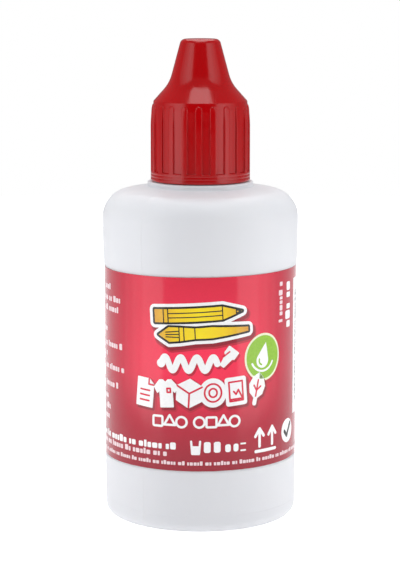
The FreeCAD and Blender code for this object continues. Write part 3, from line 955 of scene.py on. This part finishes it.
def paint_badges():
    """The green badge with its drop, the handling mark and the round tick mark."""
    badge = turned(disc(4.35, 48, 1.06), 13.0, 21.2)
    paint("badge", "shadow_soft", 1, [turned(s, 0.35, -0.5) for s in grown(badge, 0.25)])
    paint("badge", "cream", 2, [badge])
    paint("badge", "green", 3, [turned(disc(3.95, 48, 1.06), 13.0, 21.2)])
    paint("badge", "white", 4, [turned(drop_shape(1.45, 2.4), 12.7, 20.6, 1.0, -14)])
    paint("badge", "white", 4, stroke(turned(arc(2.75, 205, 335, 14), 12.8, 21.3), 0.2))
    paint("badge", "green", 5, stroke(turned(arc(0.85, 160, 250, 8), 12.75, 20.6), 0.16))
    for u in (12.1, 15.4):
        arrow = [(u - 1.0, 6.0), (u, 7.4), (u + 1.0, 6.0)]
        paint("marks", "white", 3, stroke(arrow, 0.3) + stroke([(u, 4.0), (u, 7.1)], 0.3))
    paint("marks", "white", 3, stroke([(11.2, 3.05), (16.3, 3.05)], 0.3))
    paint("marks", "white", 3, [turned(disc(2.35), 20.8, 5.6)])
    paint("marks", "black", 4, stroke([(19.6, 5.6), (20.5, 4.6), (22.1, 6.9)], 0.34))


def paint_sides():
    """Small print down both sides, the upright lines and the stock panel of plain bars."""
    ends = [(-21.9, 33.8), (-17.9, 31.6), (-18.6, 29.6), (-24.0, 25.4), (-17.3, 22.6), (-24.1, 20.6)]
    ends += [(-16.7, 18.2), (-18.8, 14.8), (-23.6, 12.2), (-22.3, 10.2), (-23.0, 8.2)]
    for k, (u, v) in enumerate(ends):
        paint("side_left", "pale", 3, greeked(-38.5 + (k % 3), u, v, 1.2, k + 4))
    paint("side_right", "pale", 3, upright(greeked(0, 8.0, 0, 1.25, 5), 17.9, 27.0))
    paint("side_right", "white", 3, upright(greeked(0, 9.3, 0, 2.0, 6), 20.7, 25.4))
    paint("side_right", "white", 2, [turned(bar(14.2, 26.6, 0.3), 31.0, 21.6)])
    v = 10.6
    for k in range(46):
        width = (0.22, 0.42, 0.22, 0.62, 0.34)[(k * k + 3 * k) % 5]
        paint("side_right", "black", 3, [turned(bar(10.4, width, 0.02), 30.6, v + width / 2)])
        v += width + (0.2, 0.34, 0.2, 0.5)[(k * 3 + k // 4) % 4]
        if v > 32.6:
            break
    paint("side_right", "black", 3, upright(greeked(0, 20.5, 0, 0.8, 9), 37.5, 11.2))


def paint_back():
    """The back, either side of the seam: two columns of small print, and four steps of use."""
    for row in range(9):
        end = (-42.0, -43.5, -41.2, -46.0)[row % 4]
        paint("back", "pale", 3, greeked(-57.4, end, 33.6 - 1.95 * row, 1.05, row + 20))
    paint("back", "white", 3, greeked(-57.4, -47.0, 35.4, 1.25, 31))
    for k in range(2):
        for j in range(2):
            u, v = -54.0 + 8.2 * j, 13.0 - 7.6 * k
            paint("back", "white", 3, stroke(turned(bar(6.2, 6.2, 0.9), u, v), 0.2, closed=True))
    paint("back", "white", 3, grown(turned(flask_shape(2.1), -54.0, 13.0, 1.0, 180), 0.1))
    paint("back", "white", 3, stroke(squiggle(-47.9, -43.7, 13.0, 0.8, 2.5), 0.3))
    for v in (4.3, 6.4):
        paint("back", "white", 3, [turned(bar(4.2, 1.3, 0.2), -54.0, v)])
    paint("back", "white", 3, stroke(turned(arc(2.1), -45.8, 5.4), 0.22))
    paint("back", "white", 3, stroke([(-45.8, 6.8), (-45.8, 5.4), (-44.9, 4.9)], 0.2))
    for row in range(14):
        end = (56.6, 54.0, 57.4, 49.5, 55.8)[row % 5]
        paint("back", "pale", 3, greeked(41.0, end, 33.4 - 1.95 * row, 1.05, row + 40))
    paint("back", "white", 3, greeked(41.0, 50.5, 35.4, 1.25, 61))
    paint("back", "white", 3, greeked(41.0, 57.0, 3.6, 1.25, 62))


def make_print():
    """Everything printed on the label, one piece per ink and layer of each group."""
    paint_emblem()
    paint_bead()
    paint_uses()
    paint_small_lines()
    paint_badges()
    paint_sides()
    paint_back()
    for (group, colour, layer), shapes in ART.items():
        add_print(f"print_{group}_{colour}_{layer}", shapes, layer, MATERIALS[colour])


MATERIALS = {
    "bottle": bottle_plastic(),
    "cap": cap_plastic(),
    "nozzle": nozzle_plastic(),
    "glue": glue_white(),
    "label": label_film(),
    "white": ink("ink_white", (248, 248, 248), 3),
    "pale": ink("ink_pale", (240, 214, 218), 3),
    "black": ink("ink_black", (20, 18, 8)),
    "green": ink("ink_green", (140, 190, 36)),
    "cream": ink("ink_cream", (238, 240, 206)),
    "crimson": ink("ink_crimson", (214, 24, 58)),
    "shadow_soft": ink("ink_shadow_soft", (192, 22, 52), 3),
    "shadow_deep": ink("ink_shadow_deep", (146, 12, 38), 3),
    "gold": gold_ink(),
}


def dress(node, material):
    """Gives a CAD node the material in place of its own."""
    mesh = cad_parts[node].data
    mesh.materials.clear()
    mesh.materials.append(material)


# ---------------------------------------------------------------- camera, floor and lights

CAMERA_BACK = 0.4006
CAMERA_UP = 0.1086
CAMERA_ASIDE = -0.00007
CAMERA_PITCH = 9.009
CAMERA_LENS = 130.86
FLOOR_RADIUS = 0.55
FLOOR_DROP = 0.00003
FLOOR_GLOW = 0.34
FLOOR_SHINE = 0.98
WORLD_FILL = 0.56
WORLD_DIM = 0.06
WORLD_GLOSS = 0.35
SIDE_RADIANCE = 1.2
TOP_RADIANCE = 2.6


def make_camera():
    """The camera at the photograph's angle, in front of the label."""
    data = bpy.data.cameras.new("camera")
    data.lens = CAMERA_LENS
    data.sensor_width = 36.0
    data.clip_start, data.clip_end = 0.01, 50.0
    camera = bpy.data.objects.new("camera", data)
    camera.location = (CAMERA_ASIDE, -CAMERA_BACK, CAMERA_UP)
    camera.rotation_euler = (math.radians(90 - CAMERA_PITCH), 0, 0)
    bpy.context.scene.collection.objects.link(camera)
    bpy.context.scene.camera = camera


def make_floor():
    """A round white table top."""
    bm = bmesh.new()
    bmesh.ops.create_circle(bm, cap_ends=True, radius=FLOOR_RADIUS, segments=128)
    mesh = bpy.data.meshes.new("floor")
    bm.to_mesh(mesh)
    bm.free()
    floor = bpy.data.objects.new("floor", mesh)
    floor.location.z = -FLOOR_DROP
    bpy.context.scene.collection.objects.link(floor)
    mesh.materials.append(floor_paper())


def softbox(name, corner, along, up, radiance):
    """A rectangular lamp from a corner and its two sides. It shines against along x up."""
    along, up = Vector(along), Vector(up)
    data = bpy.data.lights.new(name, "AREA")
    data.shape = "RECTANGLE"
    data.size, data.size_y = along.length, up.length
    data.energy = radiance * math.pi * along.length * up.length
    lamp = bpy.data.objects.new(name, data)
    side = along.normalized()
    rise = (up - side * up.dot(side)).normalized()
    face = side.cross(rise)
    turn = Matrix((side, rise, face)).transposed()
    lamp.matrix_world = Matrix.Translation(Vector(corner) + along / 2 + up / 2) @ turn.to_4x4()
    lamp.visible_camera = False
    bpy.context.scene.collection.objects.link(lamp)


def make_studio():
    """A world that the camera sees as white and that lights the object softly."""
    scene = bpy.context.scene
    world = bpy.data.worlds.new("studio")
    world.use_nodes = True
    m = Nodes(world.node_tree)
    seen = m.add("ShaderNodeLightPath")
    # A dim patch low in front of the object keeps its gloss dark between the softboxes.
    way = m.split(m.add("ShaderNodeTexCoord").outputs["Generated"])
    ahead = m.spread(way["Y"], 0.0, 1.0, -0.85, -0.6)
    above = m.spread(way["Z"], 0.0, 1.0, 0.42, 0.65)
    fill = m.spread(m.maths("MAXIMUM", ahead, above), WORLD_DIM, WORLD_FILL)
    # Gloss sees less of the fill than the matt surfaces do, so the softboxes stand out in it.
    gloss = m.spread(seen.outputs["Is Glossy Ray"], 1.0, WORLD_GLOSS)
    soft = m.tree.nodes["Background"]
    soft.inputs["Color"].default_value = (0.95, 0.97, 1.0, 1)
    m.link(m.maths("MULTIPLY", fill, gloss), soft.inputs["Strength"])
    white = m.add("ShaderNodeBackground")
    white.inputs["Color"].default_value = (1, 1, 1, 1)
    mix = m.add("ShaderNodeMixShader")
    m.link(seen.outputs["Is Camera Ray"], mix.inputs[0])
    m.link(soft.outputs[0], mix.inputs[1])
    m.link(white.outputs[0], mix.inputs[2])
    m.link(mix.outputs[0], m.tree.nodes["World Output"].inputs["Surface"])
    scene.world = world
    scene.view_settings.view_transform = "Standard"
    scene.view_settings.look = "None"


# The right softbox's lower edge runs from near to far. The left one mirrors it.
SIDE_NEAR = Vector((0.0715, -0.079, 0.0))
SIDE_FAR = Vector((0.1015, 0.006, 0.008))
SIDE_RISE = Vector((-0.010, -0.010, 0.16))
# Each panel's start and end along that edge, and its share of the radiance.
SIDE_PANELS = ((0.0, 0.5, 1.0), (0.5, 0.75, 0.62), (0.75, 1.0, 0.3))
OVERHEAD_UP = 0.352


def make_lights():
    """Two tall softboxes that fade away from the camera, and two overhead."""
    for side, name in ((-1, "side_left"), (1, "side_right")):
        mirror = Vector((side, 1, 1))
        near, far, rise = SIDE_NEAR * mirror, SIDE_FAR * mirror, SIDE_RISE * mirror
        for start, end, share in SIDE_PANELS:
            a, b = near.lerp(far, start), near.lerp(far, end)
            first, second = (b, a) if side < 0 else (a, b)
            softbox(f"{name}_{start:.2f}", first, second - first, rise, SIDE_RADIANCE * share)
    front, back = (-0.09, -0.122, OVERHEAD_UP), (-0.14, 0.13, OVERHEAD_UP)
    softbox("overhead", front, (0.18, 0, 0), (0, 0.25, 0), TOP_RADIANCE)
    softbox("overhead_back", back, (0.28, 0, 0), (0, 0.27, 0), TOP_RADIANCE)


make_bottle()
make_cap()
make_label()
make_print()
dress("nozzle_plug", MATERIALS["nozzle"])
dress("glue_fill", MATERIALS["glue"])
make_camera()
make_floor()
make_studio()
make_lights()
